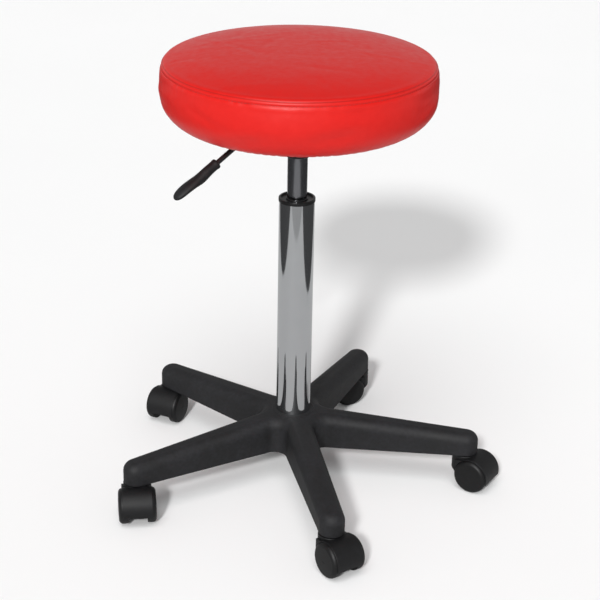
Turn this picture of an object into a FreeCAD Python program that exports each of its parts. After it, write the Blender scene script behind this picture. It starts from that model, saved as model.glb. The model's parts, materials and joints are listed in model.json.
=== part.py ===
"""Rolling stylist stool: round padded seat, gas lift, five-leg base and twin-wheel castors.

Frame: millimetres, +Z up, origin on the floor under the column axis, leg 0 along -Y.
Each node is one physical piece, or one group of identical small pieces.
"""
import FreeCAD, Part
import math
import os
from FreeCAD import Placement, Rotation, Vector

# ---- driving dimensions -------------------------------------------------------------------------
# castors, in their own frame: stem on the Z axis, wheels trailing along +X, axle along Y
WHEEL_R = 25.0
WHEEL_INNER_Y = 14.0
TREAD_OUTER_Y = 21.2
WHEEL_OUTER_Y = 27.0
TRAIL = 20.5
HOOD_R = 26.4
WHEEL_WELL_R = 25.5
WELL_INNER_Y = 13.3
NECK_R = 18.4
NECK_TOP_Z = 51.2
NOSE_Z = 21.0
AXLE_R = 3.0
STEM_LOWER_R = 4.0
STEM_UPPER_R = 5.4
STEM_FLANGE_R = 9.0
STEM_TOP_Z = 75.0
# direction that each castor trails at rest, in degrees from +X, for legs 0 to 4
CASTOR_HEADINGS = (-68.0, -45.0, -172.0, -126.0, -94.0)

# star base
LEGS = 5
STEM_CIRCLE_R = 255.5
LEG_TIP_R = 17.8
LEG_TAPER = math.radians(0.7)
LEG_ROOT_BLEND_R = 18.0
LEG_BOTTOM_Z = 53.0
LEG_TOP_Z_AT_ROOT = 104.0
LEG_TOP_ROOT_R = 40.0
LEG_TOP_SLOPE = 0.09
LEG_EDGE_R = 14.0
LEG_WALL = 3.2
LEG_ROOF = 4.0
RIB_THICKNESS = 2.4
SPINE_RECESS = 3.0
RIB_RECESS = 6.0
FIRST_RIB_R = 75
LAST_RIB_R = 225
RIB_SPACING = 30
HUB_TOP_Z = 106.0
HUB_BOTTOM_Z = 50.0
HUB_BOSS_R = 33.0
HUB_RING_R = 29.5
HUB_RING_HEIGHT = 11.0
PRESS_GAP = 0.05
STEM_BORE_R = 5.9
STEM_BOSS_R = 11.0

# column
COLUMN_R = 25.0
COLUMN_FOOT_R = 24.2
COLUMN_WALL = 1.5
COLUMN_BOTTOM_Z = 40.5
TAPER_TOP_Z = 108.0
COLLAR_BOTTOM_Z = 432.0
COLLAR_TOP_Z = 437.0
COLLAR_R = 25.75
BUSH_BOTTOM_Z = 347.0
FIT = 0.06

# gas lift, drawn at the rest height of the seat
CYLINDER_R = 14.0
CYLINDER_WALL = 1.4
CYLINDER_BOTTOM_Z = 250.0
CYLINDER_TAPER_Z = 493.0
CYLINDER_TOP_Z = 524.8
CYLINDER_TOP_R = 13.2
VALVE_R = 8.0
BUTTON_R = 2.5
ROD_R = 5.0
ROD_FOOT_R = 4.0
ROD_FOOT_Z = 38.5
ROD_SHOULDER_Z = 55.8
CLIP_Z = 41.5
WASHER_R = 8.0
END_PLATE_Z = 44.0
PISTON_Z = 344.0
PISTON_TOP_Z = 358.0
BALLS = 9
BALL_R = 2.0
BALL_CIRCLE_R = 8.8
BALL_Z = 51.5
RACE_R = 12.0

# seat
SEAT_R = 190.0
SEAT_BOTTOM_Z = 548.0
SEAT_WIDEST_Z = 595.0
SEAM_R = 184.0
SEAM_Z = 630.0
SEAT_TOP_Z = 650.0
SEAT_FLAT_R = SEAT_R - (SEAT_WIDEST_Z - SEAT_BOTTOM_Z)
COVER_HEM_R = 119.0
COVER_THICKNESS = 1.2
BOARD_R = 140.0
BOARD_THICKNESS = 15.0
PLATE_HALF = 80.0
PLATE_THICKNESS = 2.2
PAN_R = 46.0
PAN_DEPTH = 26.0
SOCKET_R = 18.0
SOCKET_BOTTOM_Z = 498.0
SCREW_HALF_SPACING = 62.0
SCREW_R = 3.0
WASHER_THICKNESS = 1.2
STAPLES = 24
DUST_COVER_R = 128.0
DUST_COVER_THICKNESS = 0.4

# lever
LEVER_ANGLE = -156.3
LEVER_ROD_R = 3.5
LEVER_PIVOT_R = 28.0
LEVER_Z = 532.0
LEVER_BEND_R = 98.0
LEVER_BEND_CURVE_R = 30.0
LEVER_DROP = 30.0
PADDLE_START_R = 132.0
PADDLE_SOCKET_DEPTH = 26.0
PIVOT_PIN_R = 1.25
BUTTON_TOP_Z = LEVER_Z - LEVER_ROD_R - 0.3

os.makedirs("parts", exist_ok=True)
Z = Vector(0, 0, 1)


# ---- helpers ------------------------------------------------------------------------------------
def save(node, shape):
    shape.exportStep(f"parts/{node}.step")


def tube(outer_r, inner_r, low, high):
    outer = Part.makeCylinder(outer_r, high - low, Vector(0, 0, low))
    if inner_r <= 0:
        return outer
    return outer.cut(Part.makeCylinder(inner_r, high - low, Vector(0, 0, low)))


def wire_from(points):
    """A closed wire from points; a tuple (mid, end) stands for an arc through mid."""
    edges = []
    start = here = points[0]
    for step in points[1:]:
        if isinstance(step, tuple):
            edges.append(Part.Arc(here, step[0], step[1]).toShape())
            here = step[1]
        else:
            edges.append(Part.LineSegment(here, step).toShape())
            here = step
    if here.distanceToPoint(start) > 1e-7:
        edges.append(Part.LineSegment(here, start).toShape())
    return Part.Wire(edges)


def rz(r, z):
    return Vector(r, 0, z)


def cap(edge_r, edge_z, top_z):
    """Arc of a sphere about the Z axis, from the cap's edge to its top: (mid, end)."""
    height = top_z - edge_z
    sphere_r = (edge_r**2 + height**2) / (2 * height)
    half = math.asin(edge_r / sphere_r) / 2
    drop = sphere_r * (1 - math.cos(half))
    return rz(sphere_r * math.sin(half), top_z - drop), rz(0, top_z)


def revolve(points, centre=Vector(0, 0, 0), axis=Z):
    return Part.Face(wire_from(points)).revolve(centre, axis, 360)


def placed(shape, x=0.0, y=0.0, turn=0.0):
    moved = shape.copy()
    moved.Placement = Placement(Vector(x, y, 0), Rotation(Z, turn)).multiply(moved.Placement)
    return moved


def on_circle(radius, degrees):
    return radius * math.cos(math.radians(degrees)), radius * math.sin(math.radians(degrees))


def leg_angle(leg):
    return -90.0 + 360.0 / LEGS * leg


def group(shapes):
    return Part.makeCompound(shapes)


# ---- star base ----------------------------------------------------------------------------------
def star_outline(tip_r, blend_r):
    """The star in plan: tangent tip arcs, slightly tapered sides and blends between the legs."""
    half_at_axis = tip_r / math.cos(LEG_TAPER) + STEM_CIRCLE_R * math.tan(LEG_TAPER)
    half_turn = math.pi / LEGS
    reach = (blend_r / math.cos(LEG_TAPER) + half_at_axis) / (
        math.sin(half_turn) + math.cos(half_turn) * math.tan(LEG_TAPER)
    )
    path = []
    for leg in range(LEGS):
        a = math.radians(leg_angle(leg))
        along = Vector(math.cos(a), math.sin(a), 0)
        left = Vector(-math.sin(a), math.cos(a), 0)
        centre = along * STEM_CIRCLE_R
        side = left * math.cos(LEG_TAPER) + along * math.sin(LEG_TAPER)
        other_side = left * -math.cos(LEG_TAPER) + along * math.sin(LEG_TAPER)
        blend_a = a + half_turn
        blend_centre = Vector(math.cos(blend_a), math.sin(blend_a), 0) * reach
        next_a = a + 2 * half_turn
        next_side = Vector(math.sin(next_a), -math.cos(next_a), 0) * math.cos(LEG_TAPER) + Vector(
            math.cos(next_a), math.sin(next_a), 0
        ) * math.sin(LEG_TAPER)
        inward = Vector(math.cos(blend_a), math.sin(blend_a), 0) * -blend_r
        path += [
            centre + other_side * tip_r,
            (centre + along * tip_r, centre + side * tip_r),
            blend_centre - side * blend_r,
            (blend_centre + inward, blend_centre - next_side * blend_r),
        ]
    return path


def leg_top(radius):
    return LEG_TOP_Z_AT_ROOT - LEG_TOP_SLOPE * (radius - LEG_TOP_ROOT_R)


def star_solid(tip_r, blend_r, drop, edge_r, low):
    """The outline raised to the sloping top, with its upper edges rounded."""
    far = STEM_CIRCLE_R + 2 * tip_r
    prism = Part.Face(wire_from(star_outline(tip_r, blend_r))).extrude(Vector(0, 0, HUB_TOP_Z))
    prism.translate(Vector(0, 0, low))
    under = revolve(
        [rz(0, low), rz(far, low), rz(far, leg_top(far) - drop), rz(0, leg_top(0) - drop)]
    )
    body = prism.common(under)
    upper = [e for e in body.Edges if e.BoundBox.ZMin > LEG_BOTTOM_Z + 15]
    return body.makeFillet(edge_r, upper)


def make_star_base():
    body = star_solid(LEG_TIP_R, LEG_ROOT_BLEND_R, 0.0, LEG_EDGE_R, LEG_BOTTOM_Z)
    hollow = star_solid(
        LEG_TIP_R - LEG_WALL,
        LEG_ROOT_BLEND_R + LEG_WALL,
        LEG_ROOF,
        LEG_EDGE_R - LEG_WALL,
        LEG_BOTTOM_Z - 1,
    )
    keep = tube(HUB_BOSS_R, 0, HUB_BOTTOM_Z, 120)
    for leg in range(LEGS):
        x, y = on_circle(STEM_CIRCLE_R, leg_angle(leg))
        keep = keep.fuse(placed(tube(STEM_BOSS_R, 0, LEG_BOTTOM_Z, 120), x, y))
        spine_low = Vector(0, -RIB_THICKNESS / 2, LEG_BOTTOM_Z + SPINE_RECESS)
        spine = Part.makeBox(STEM_CIRCLE_R, RIB_THICKNESS, HUB_TOP_Z, spine_low)
        keep = keep.fuse(placed(spine, turn=leg_angle(leg)))
        for rib_r in range(FIRST_RIB_R, LAST_RIB_R + 1, RIB_SPACING):
            rib_low = Vector(rib_r, -LEG_TIP_R * 2, LEG_BOTTOM_Z + RIB_RECESS)
            rib = Part.makeBox(RIB_THICKNESS, LEG_TIP_R * 4, HUB_TOP_Z, rib_low)
            keep = keep.fuse(placed(rib, turn=leg_angle(leg)))
    body = body.cut(hollow.cut(keep))
    boss = tube(HUB_BOSS_R, 0, HUB_BOTTOM_Z, LEG_BOTTOM_Z + 1)
    lip = revolve(
        [
            rz(20, 90),
            rz(38.5, 90),
            rz(38.5, 103.4),
            (rz(33.5, 103.9), rz(30.6, HUB_TOP_Z - 0.8)),
            (rz(30.2, HUB_TOP_Z - 0.2), rz(29.4, HUB_TOP_Z)),
            rz(20, HUB_TOP_Z),
        ]
    )
    body = body.fuse(boss).fuse(lip)
    body = body.cut(hub_bore())
    body = body.cut(tube(HUB_RING_R + 0.02, 0, HUB_BOTTOM_Z - 1, HUB_BOTTOM_Z + HUB_RING_HEIGHT + 1))
    bores = []
    for leg in range(LEGS):
        x, y = on_circle(STEM_CIRCLE_R, leg_angle(leg))
        bores.append(placed(tube(STEM_BORE_R, 0, LEG_BOTTOM_Z - 1, STEM_TOP_Z + 1.5), x, y))
    return body.cut(group(bores)).removeSplitter()


def column_radius(z):
    """Outside radius of the column: straight, then a slow taper down to its foot."""
    if z >= TAPER_TOP_Z:
        return COLUMN_R
    share = (z - COLUMN_BOTTOM_Z) / (TAPER_TOP_Z - COLUMN_BOTTOM_Z)
    return COLUMN_FOOT_R + (COLUMN_R - COLUMN_FOOT_R) * share


def hub_bore():
    low, high = HUB_BOTTOM_Z - 1, HUB_TOP_Z + 4
    return revolve(
        [
            rz(0, low),
            rz(column_radius(low) + PRESS_GAP, low),
            rz(column_radius(high) + PRESS_GAP, high),
            rz(0, high),
        ]
    )


def make_hub_ring():
    low = HUB_BOTTOM_Z + 0.5
    high = low + HUB_RING_HEIGHT
    return revolve(
        [
            rz(column_radius(low) + PRESS_GAP, low),
            rz(HUB_RING_R, low),
            rz(HUB_RING_R, high),
            rz(column_radius(high) + PRESS_GAP, high),
        ]
    )


# ---- castors ------------------------------------------------------------------------------------
def make_stem():
    stem = tube(STEM_LOWER_R, 0, 37.0, NECK_TOP_Z + 0.6)
    stem = stem.fuse(tube(STEM_FLANGE_R, 0, NECK_TOP_Z + 0.4, LEG_BOTTOM_Z))
    stem = stem.fuse(tube(STEM_UPPER_R, 0, LEG_BOTTOM_Z - 0.1, STEM_TOP_Z))
    stem = stem.makeChamfer(1.2, [e for e in stem.Edges if e.BoundBox.ZMin > STEM_TOP_Z - 0.1])
    return stem.cut(tube(8, STEM_UPPER_R - 0.8, 63.0, 67.0)).removeSplitter()


def make_grip_ring():
    ring = tube(STEM_BORE_R - 0.03, STEM_UPPER_R - 0.75, 63.1, 66.9)
    return ring.cut(Part.makeBox(10, 2.4, 10, Vector(0, -1.2, 60)))


def side_prism(points, half_width):
    """A profile in the XZ plane, extruded evenly to both sides of it."""
    face = Part.Face(wire_from(points))
    face.translate(Vector(0, -half_width, 0))
    return face.extrude(Vector(0, 2 * half_width, 0))


def at_axle(radius, degrees):
    x, z = on_circle(radius, degrees)
    return rz(TRAIL + x, WHEEL_R + z)


def make_housing():
    hood_end = -16.0
    hood = side_prism(
        [
            rz(-6.0, NECK_TOP_Z - 6.0),
            rz(-6.0, WHEEL_R + 2.0),
            rz(6.0, WHEEL_R - 9.0),
            rz(TRAIL + 14.0, WHEEL_R - 9.0),
            at_axle(HOOD_R - 1.6, hood_end),
            at_axle(HOOD_R, hood_end),
            (at_axle(HOOD_R, 40.0), at_axle(HOOD_R, 90.0)),
            (at_axle(HOOD_R, 105.0), at_axle(HOOD_R, 125.0)),
        ],
        TREAD_OUTER_Y,
    )
    rims = [e for e in hood.Edges if e.Length > 12 and e.BoundBox.YLength < 0.01]
    outer = [e for e in rims if e.BoundBox.ZMax > WHEEL_R + 20 and e.BoundBox.XMax > TRAIL]
    hood = hood.makeFillet(0.9, outer)
    neck = revolve(
        [
            rz(0, NOSE_Z),
            rz(NECK_R - 5.5, NOSE_Z),
            (rz(NECK_R - 1.3, NOSE_Z + 2.6), rz(NECK_R, NOSE_Z + 8.0)),
            rz(NECK_R, NECK_TOP_Z - 0.8),
            rz(NECK_R - 0.8, NECK_TOP_Z),
            rz(0, NECK_TOP_Z),
        ]
    )
    body = hood.fuse(neck)
    for side in (-1, 1):
        start = Vector(TRAIL, side * WELL_INNER_Y, WHEEL_R)
        body = body.cut(Part.makeCylinder(WHEEL_WELL_R, 30, start, Vector(0, side, 0)))
    stem_room = tube(STEM_LOWER_R + 0.05, 0, 36.0, NECK_TOP_Z + 1)
    axle_room = Part.makeCylinder(
        AXLE_R + 0.02, 60, Vector(TRAIL, -30, WHEEL_R), Vector(0, 1, 0)
    )
    body = body.cut(stem_room).cut(axle_room)
    solids = sorted(body.Solids, key=lambda s: s.Volume)
    return solids[-1].removeSplitter()


def make_axle():
    half = WHEEL_OUTER_Y - 5.0
    axle = Part.makeCylinder(AXLE_R, 2 * half, Vector(TRAIL, -half, WHEEL_R), Vector(0, 1, 0))
    return axle.makeChamfer(0.5, [e for e in axle.Edges if e.BoundBox.YLength < 0.01])


def make_wheel(side):
    """A nylon wheel: cylindrical tread inside the hood, rounded shoulder, shallow domed face."""
    bore_end = WHEEL_OUTER_Y - 4.6
    bore_r = AXLE_R + FIT
    face_r = WHEEL_R - 6.0
    face_y = WHEEL_OUTER_Y - 0.6
    wheel = revolve(
        [
            rz(0, bore_end),
            rz(bore_r, bore_end),
            rz(bore_r, WHEEL_INNER_Y - 0.4),
            rz(7.0, WHEEL_INNER_Y - 0.4),
            rz(7.0, WHEEL_INNER_Y),
            rz(WHEEL_R - 0.6, WHEEL_INNER_Y),
            rz(WHEEL_R, WHEEL_INNER_Y + 0.6),
            rz(WHEEL_R, TREAD_OUTER_Y),
            (rz(WHEEL_R - 1.5, face_y - 1.9), rz(face_r, face_y)),
            cap(face_r, face_y, WHEEL_OUTER_Y),
        ]
    )
    wheel.Placement = Placement(Vector(TRAIL, 0, WHEEL_R), Rotation(Vector(1, 0, 0), -90.0 * side))
    return wheel


# ---- column and gas lift ------------------------------------------------------------------------
def make_column_tube():
    top = COLLAR_BOTTOM_Z
    return revolve(
        [
            rz(column_radius(COLUMN_BOTTOM_Z) - COLUMN_WALL, COLUMN_BOTTOM_Z),
            rz(column_radius(COLUMN_BOTTOM_Z), COLUMN_BOTTOM_Z),
            rz(COLUMN_R, TAPER_TOP_Z),
            rz(COLUMN_R, top),
            rz(COLUMN_R - COLUMN_WALL, top),
            rz(COLUMN_R - COLUMN_WALL, TAPER_TOP_Z),
        ]
    )


def make_guide_bush():
    """Plastic bush inside the tube's mouth, with the collar that caps the tube."""
    inner = CYLINDER_R + FIT
    outer = COLUMN_R - COLUMN_WALL - 0.03
    return revolve(
        [
            rz(inner, BUSH_BOTTOM_Z),
            rz(outer, BUSH_BOTTOM_Z),
            rz(outer, COLLAR_BOTTOM_Z),
            rz(COLLAR_R, COLLAR_BOTTOM_Z),
            rz(COLLAR_R, COLLAR_TOP_Z - 1.2),
            (rz(COLLAR_R - 0.35, COLLAR_TOP_Z - 0.35), rz(COLLAR_R - 1.2, COLLAR_TOP_Z)),
            rz(22.6, COLLAR_TOP_Z),
            rz(22.0, COLLAR_TOP_Z - 2.2),
            rz(15.6, COLLAR_TOP_Z - 2.2),
            rz(15.2, COLLAR_TOP_Z - 0.9),
            rz(inner, COLLAR_TOP_Z - 0.9),
        ]
    )


def make_end_plate():
    outer = column_radius(END_PLATE_Z) - COLUMN_WALL - 0.03
    return tube(outer, ROD_FOOT_R + 0.08, END_PLATE_Z, END_PLATE_Z + 3.5)


def make_retaining_clip():
    """Open spring clip in the groove at the foot of the rod."""
    clip = tube(WASHER_R, 3.25, CLIP_Z, CLIP_Z + 1.0)
    return clip.cut(Part.makeBox(10, 5.6, 4, Vector(0, -2.8, CLIP_Z - 1.5)))


def make_bearing_balls():
    balls = []
    for i in range(BALLS):
        x, y = on_circle(BALL_CIRCLE_R, 360.0 / BALLS * i)
        balls.append(Part.makeSphere(BALL_R, Vector(x, y, BALL_Z)))
    return balls


def make_bearing_cage():
    cage = tube(11.4, 6.2, BALL_Z - 0.6, BALL_Z + 0.6)
    for i in range(BALLS):
        x, y = on_circle(BALL_CIRCLE_R, 360.0 / BALLS * i)
        cage = cage.cut(Part.makeSphere(BALL_R + 0.15, Vector(x, y, BALL_Z)))
    return cage


def make_piston_rod():
    neck = 3.2
    return revolve(
        [
            rz(0, ROD_FOOT_Z),
            rz(ROD_FOOT_R - 0.6, ROD_FOOT_Z),
            rz(ROD_FOOT_R, ROD_FOOT_Z + 0.6),
            rz(ROD_FOOT_R, CLIP_Z - 0.1),
            rz(neck, CLIP_Z - 0.1),
            rz(neck, CLIP_Z + 1.1),
            rz(ROD_FOOT_R, CLIP_Z + 1.1),
            rz(ROD_FOOT_R, ROD_SHOULDER_Z),
            rz(ROD_R, ROD_SHOULDER_Z),
            rz(ROD_R, PISTON_Z),
            rz(ROD_FOOT_R, PISTON_Z),
            rz(ROD_FOOT_R, PISTON_TOP_Z + 1.5),
            rz(0, PISTON_TOP_Z + 1.5),
        ]
    )


def make_piston():
    bore = CYLINDER_R - CYLINDER_WALL
    piston = tube(bore - 0.4, ROD_FOOT_R + 0.02, PISTON_Z, PISTON_TOP_Z)
    groove = tube(bore + 1, bore - 2.6, PISTON_Z + 5.0, PISTON_Z + 9.0)
    return piston.cut(groove)


def make_piston_ring():
    bore = CYLINDER_R - CYLINDER_WALL
    return tube(bore - 0.08, bore - 2.55, PISTON_Z + 5.1, PISTON_Z + 8.9)


def make_rubber_bumper():
    return revolve(
        [
            rz(ROD_R + 0.05, 59.0),
            rz(11.5, 59.0),
            rz(11.5, 66.0),
            (rz(9.6, 68.5), rz(11.5, 71.0)),
            rz(11.5, 79.0),
            rz(9.5, 81.0),
            rz(ROD_R + 0.05, 81.0),
        ]
    )


def make_upper_race():
    """Race with a short sleeve: it turns with the rod and carries the bumper."""
    race = tube(RACE_R, ROD_FOOT_R + 0.03, BALL_Z + 2.3, ROD_SHOULDER_Z)
    return race.fuse(tube(RACE_R, ROD_R + 0.03, ROD_SHOULDER_Z, 58.9)).removeSplitter()


def cylinder_radius(z):
    if z <= CYLINDER_TAPER_Z:
        return CYLINDER_R
    share = (z - CYLINDER_TAPER_Z) / (CYLINDER_TOP_Z - CYLINDER_TAPER_Z)
    return CYLINDER_R + (CYLINDER_TOP_R - CYLINDER_R) * share


def make_gas_cylinder():
    inner = CYLINDER_R - CYLINDER_WALL
    low = CYLINDER_BOTTOM_Z
    return revolve(
        [
            rz(inner, low),
            rz(CYLINDER_R - 0.5, low),
            rz(CYLINDER_R, low + 0.5),
            rz(CYLINDER_R, CYLINDER_TAPER_Z),
            rz(CYLINDER_TOP_R, CYLINDER_TOP_Z),
            rz(VALVE_R, CYLINDER_TOP_Z),
            rz(VALVE_R, CYLINDER_TOP_Z - 2.0),
            rz(CYLINDER_TOP_R - CYLINDER_WALL, CYLINDER_TOP_Z - 2.0),
            rz(inner, CYLINDER_TAPER_Z),
        ]
    )


def make_valve_body():
    """Plug that closes the cylinder's top and guides the release button."""
    low = CYLINDER_TAPER_Z - 6.0
    top = CYLINDER_TOP_Z
    wall_r = CYLINDER_TOP_R - CYLINDER_WALL - 0.05
    body = revolve(
        [
            rz(0, low),
            rz(wall_r, low),
            rz(wall_r, top - 2.1),
            rz(VALVE_R - 0.05, top - 2.1),
            rz(VALVE_R - 0.05, top),
            rz(0, top),
        ]
    )
    seal_groove = tube(15, wall_r - 1.8, low + 6, low + 9)
    return body.cut(seal_groove).cut(tube(BUTTON_R + 0.06, 0, low + 14, top + 1))


def make_release_button():
    pin = tube(BUTTON_R, 0, CYLINDER_TAPER_Z + 12.0, BUTTON_TOP_Z)
    return pin.makeFillet(0.9, [e for e in pin.Edges if e.BoundBox.ZMin > BUTTON_TOP_Z - 0.1])


def make_rod_guide():
    inner = CYLINDER_R - CYLINDER_WALL - 0.03
    low = CYLINDER_BOTTOM_Z + 1.0
    return tube(inner, ROD_R + FIT, low, low + 12.0)


def make_rod_seal():
    inner = CYLINDER_R - CYLINDER_WALL - 0.03
    low = CYLINDER_BOTTOM_Z + 13.2
    return revolve(
        [
            rz(ROD_R + FIT, low),
            rz(inner, low),
            rz(inner, low + 7.0),
            rz(inner - 2.0, low + 7.0),
            rz(inner - 3.2, low + 2.6),
            rz(ROD_R + 2.0, low + 2.6),
            rz(ROD_R + FIT, low + 6.4),
        ]
    )


# ---- seat ---------------------------------------------------------------------------------------
def cushion_profile(inset):
    """Half section of the cushion, moved inwards by inset: flat below, full side, low crown."""
    low = SEAT_BOTTOM_Z + inset
    corner = (SEAT_WIDEST_Z - low) * math.sqrt(0.5)
    side_z = (SEAT_WIDEST_Z + SEAM_Z) / 2
    return [
        rz(SEAT_FLAT_R, low),
        (rz(SEAT_FLAT_R + corner, SEAT_WIDEST_Z - corner), rz(SEAT_R - inset, SEAT_WIDEST_Z)),
        (rz(SEAT_R - inset - 1.3, side_z), rz(SEAM_R - inset, SEAM_Z - inset)),
        cap(SEAM_R - inset, SEAM_Z - inset, SEAT_TOP_Z - inset),
    ]


def cushion_solid(inset):
    low = SEAT_BOTTOM_Z + inset
    return revolve(cushion_profile(inset) + [rz(0, low), rz(SEAT_FLAT_R, low)])


def board_bottom():
    return SEAT_BOTTOM_Z + COVER_THICKNESS


def make_seat_cover():
    skin = cushion_solid(0.0).cut(cushion_solid(COVER_THICKNESS))
    return skin.cut(tube(COVER_HEM_R, 0, SEAT_BOTTOM_Z - 1, SEAT_BOTTOM_Z + 10))


def screw_places():
    spots = []
    for sx in (-1, 1):
        for sy in (-1, 1):
            spots.append((sx * SCREW_HALF_SPACING, sy * SCREW_HALF_SPACING))
    return spots


def make_seat_board():
    low = board_bottom()
    board = tube(BOARD_R, 0, low, low + BOARD_THICKNESS)
    board = board.makeChamfer(3.0, [e for e in board.Edges if e.BoundBox.ZMax < low + 0.1])
    board = board.cut(tube(PAN_R + 1.0, 0, low - 1, low + 4.0))
    for x, y in screw_places():
        board = board.cut(placed(tube(4.15, 0, low - 1, low + 30), x, y))
    return board


def make_t_nuts():
    low, top = board_bottom(), board_bottom() + BOARD_THICKNESS
    nuts = []
    for x, y in screw_places():
        nut = tube(4.1, SCREW_R + 0.05, low + 4.0, top)
        nut = nut.fuse(tube(9.5, SCREW_R + 0.05, top, top + 1.2)).removeSplitter()
        nuts.append(placed(nut, x, y))
    return nuts


def make_seat_foam():
    low, top = board_bottom(), board_bottom() + BOARD_THICKNESS
    foam = cushion_solid(COVER_THICKNESS)
    foam = foam.cut(tube(BOARD_R, 0, low - 1, top))
    for x, y in screw_places():
        foam = foam.cut(placed(tube(9.6, 0, top - 0.5, top + 1.3), x, y))
        foam = foam.cut(placed(tube(SCREW_R + 0.2, 0, top - 0.5, top + 6.0), x, y))
    return foam


def plate_low():
    return SEAT_BOTTOM_Z - DUST_COVER_THICKNESS - PLATE_THICKNESS


def pan_floor_top():
    return plate_low() + 2 * PLATE_THICKNESS - PAN_DEPTH


def make_seat_plate():
    """Pressed steel plate: rolled corners, round centre pan, socket hole, lever slot."""
    low, high = plate_low(), plate_low() + PLATE_THICKNESS
    size = 2 * PLATE_HALF
    plate = Part.makeBox(size, size, PLATE_THICKNESS, Vector(-PLATE_HALF, -PLATE_HALF, low))
    plate = plate.makeFillet(16.0, [e for e in plate.Edges if e.BoundBox.ZLength > 1])
    pan_floor = pan_floor_top() - PLATE_THICKNESS
    plate = plate.cut(tube(PAN_R - 3.0, 0, low - 1, high + 1))
    pan = revolve(
        [
            rz(0, pan_floor),
            rz(PAN_R - 12.0, pan_floor),
            (rz(PAN_R - 9.5, pan_floor + 1.0), rz(PAN_R - 8.0, pan_floor + 3.2)),
            rz(PAN_R - 2.4, low),
            rz(PAN_R - 2.4, high),
            rz(PAN_R - 4.8, high),
            rz(PAN_R - 10.2, pan_floor + 4.4),
            (rz(PAN_R - 11.2, pan_floor + 2.7), rz(PAN_R - 12.8, pan_floor + PLATE_THICKNESS)),
            rz(0, pan_floor + PLATE_THICKNESS),
        ]
    )
    plate = plate.fuse(pan).cut(tube(SOCKET_R, 0, pan_floor - 1, pan_floor + 5))
    slot = Part.makeBox(34, 13.0, 30, Vector(22, -6.5, pan_floor + 5.4))
    plate = plate.cut(placed(slot, turn=LEVER_ANGLE))
    for x, y in screw_places():
        plate = plate.cut(placed(tube(SCREW_R + 0.4, 0, low - 1, high + 1), x, y))
    return plate.removeSplitter()


def make_taper_socket():
    """Thick steel sleeve, welded through the pan; its taper grips the cylinder's top."""
    low, high = SOCKET_BOTTOM_Z, pan_floor_top()
    gap = 0.03
    return revolve(
        [
            rz(cylinder_radius(low) + gap, low),
            rz(SOCKET_R - 0.8, low),
            rz(SOCKET_R, low + 0.8),
            rz(SOCKET_R, high),
            rz(cylinder_radius(high) + gap, high),
        ]
    )


def make_plate_screws():
    screws = []
    head_top = plate_low() - WASHER_THICKNESS
    for x, y in screw_places():
        screw = tube(SCREW_R, 0, head_top - 0.1, board_bottom() + BOARD_THICKNESS + 3.0)
        head = revolve(
            [
                rz(0, head_top),
                rz(5.6, head_top),
                rz(5.6, head_top - 1.2),
                (rz(4.4, head_top - 2.9), rz(0, head_top - 3.6)),
            ]
        )
        for turn in (0, 90):
            cross = Part.makeBox(5.4, 1.1, 2.2, Vector(-2.7, -0.55, head_top - 4.0))
            head = head.cut(placed(cross, turn=turn))
        screws.append(placed(screw.fuse(head).removeSplitter(), x, y))
    return screws


def make_lock_washers():
    washers = []
    for x, y in screw_places():
        washer = tube(5.4, SCREW_R + 0.1, plate_low() - WASHER_THICKNESS, plate_low())
        washer = washer.cut(Part.makeBox(8, 0.6, 4, Vector(0, -0.3, plate_low() - 2)))
        washers.append(placed(washer, x, y))
    return washers


def make_dust_cover():
    """Thin black non-woven sheet under the seat, cut out round the plate."""
    low = SEAT_BOTTOM_Z - DUST_COVER_THICKNESS
    sheet = tube(DUST_COVER_R, 0, low, SEAT_BOTTOM_Z)
    opening = Part.makeBox(2 * PAN_R, 2 * PAN_R, 4, Vector(-PAN_R, -PAN_R, SEAT_BOTTOM_Z - 2))
    sheet = sheet.cut(opening)
    for x, y in screw_places():
        sheet = sheet.cut(placed(tube(SCREW_R + 0.4, 0, low - 1, SEAT_BOTTOM_Z + 1), x, y))
    return sheet


def make_staples():
    staples = []
    low = SEAT_BOTTOM_Z - DUST_COVER_THICKNESS - 0.7
    for i in range(STAPLES):
        crown = Part.makeBox(0.9, 9.0, 0.7, Vector(DUST_COVER_R - 4.5, -4.5, low))
        staples.append(placed(crown, turn=360.0 / STAPLES * (i + 0.5)))
    return staples


# ---- lever --------------------------------------------------------------------------------------
def lever_frame(shape):
    """From the lever's own frame, where it points along +X, to its place on the stool."""
    return placed(shape, turn=LEVER_ANGLE)


def make_lever_bracket():
    """Two ears welded inside the pan's slot, either side of the rod."""
    ears = []
    floor = pan_floor_top()
    for side in (-1, 1):
        y = 4.4 if side > 0 else -6.2
        ear = Part.makeBox(9.0, 1.8, LEVER_Z + 3.6 - floor, Vector(LEVER_PIVOT_R - 4.5, y, floor))
        hole = Part.makeCylinder(
            PIVOT_PIN_R + 0.02, 4, Vector(LEVER_PIVOT_R, y - 1, LEVER_Z), Vector(0, 1, 0)
        )
        ears.append(ear.cut(hole))
    bridge = Part.makeBox(9.0, 12.4, 1.6, Vector(LEVER_PIVOT_R - 4.5, -6.2, floor))
    return lever_frame(ears[0].fuse(ears[1]).fuse(bridge).removeSplitter())


def make_pivot_pin():
    pin = Part.makeCylinder(PIVOT_PIN_R, 13.6, Vector(LEVER_PIVOT_R, -6.8, LEVER_Z), Vector(0, 1, 0))
    head = Part.makeCylinder(2.2, 0.9, Vector(LEVER_PIVOT_R, -7.3, LEVER_Z), Vector(0, 1, 0))
    return lever_frame(pin.fuse(head).removeSplitter())


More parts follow.
